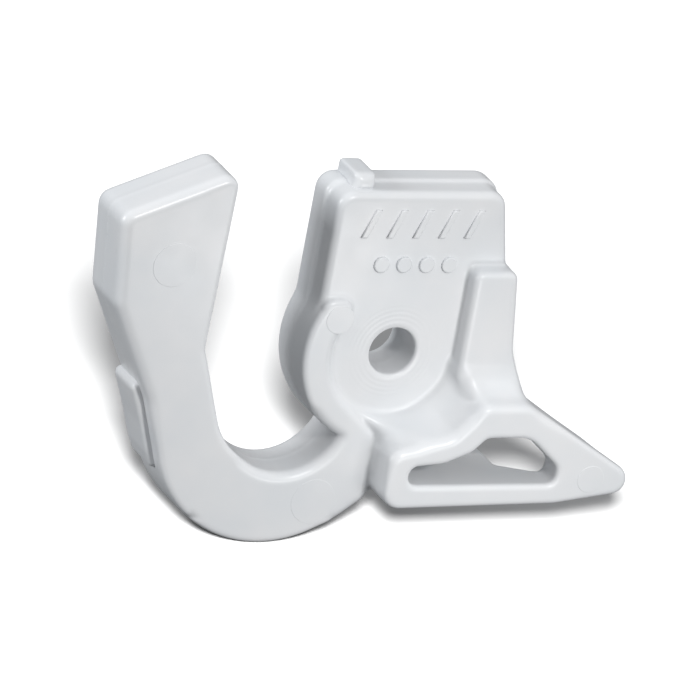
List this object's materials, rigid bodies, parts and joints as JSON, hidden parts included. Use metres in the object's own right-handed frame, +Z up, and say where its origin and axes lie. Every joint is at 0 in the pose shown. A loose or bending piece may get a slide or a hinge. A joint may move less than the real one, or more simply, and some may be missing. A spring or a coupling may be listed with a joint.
{
  "type": "stair gate latch",
  "caption": "One-piece moulded gate latch: a J-shaped hook on a pivot hub with a through bore, a square head block, and a raised thumb post running into a wedge-shaped pull loop.",
  "frame": {"origin": "centre of the pivot bore, half way along it, on the parting plane of the moulding", "axes": "+Z up along the head block's left wall, +X towards the tip of the pull loop, and the front, with the raised rim, post and loop, faces -Y; the pivot bore runs along Y"},
  "size_m": [0.0589, 0.0112, 0.0397],
  "materials": {
    "latch_plastic": "moulded acetal, smooth and slightly glossy, bluish white"
  },
  "bodies": {
    "root": {"hook_arm": "latch_plastic", "hook_bend": "latch_plastic", "arm_side_tab": "latch_plastic", "pivot_hub": "latch_plastic", "hub_rim": "latch_plastic", "head_block": "latch_plastic", "head_rib": "latch_plastic", "face_marks": "latch_plastic", "thumb_post": "latch_plastic", "post_foot": "latch_plastic", "pull_loop": "latch_plastic", "loop_tip": "latch_plastic", "loop_web": "latch_plastic"}
  },
  "joints": []
}
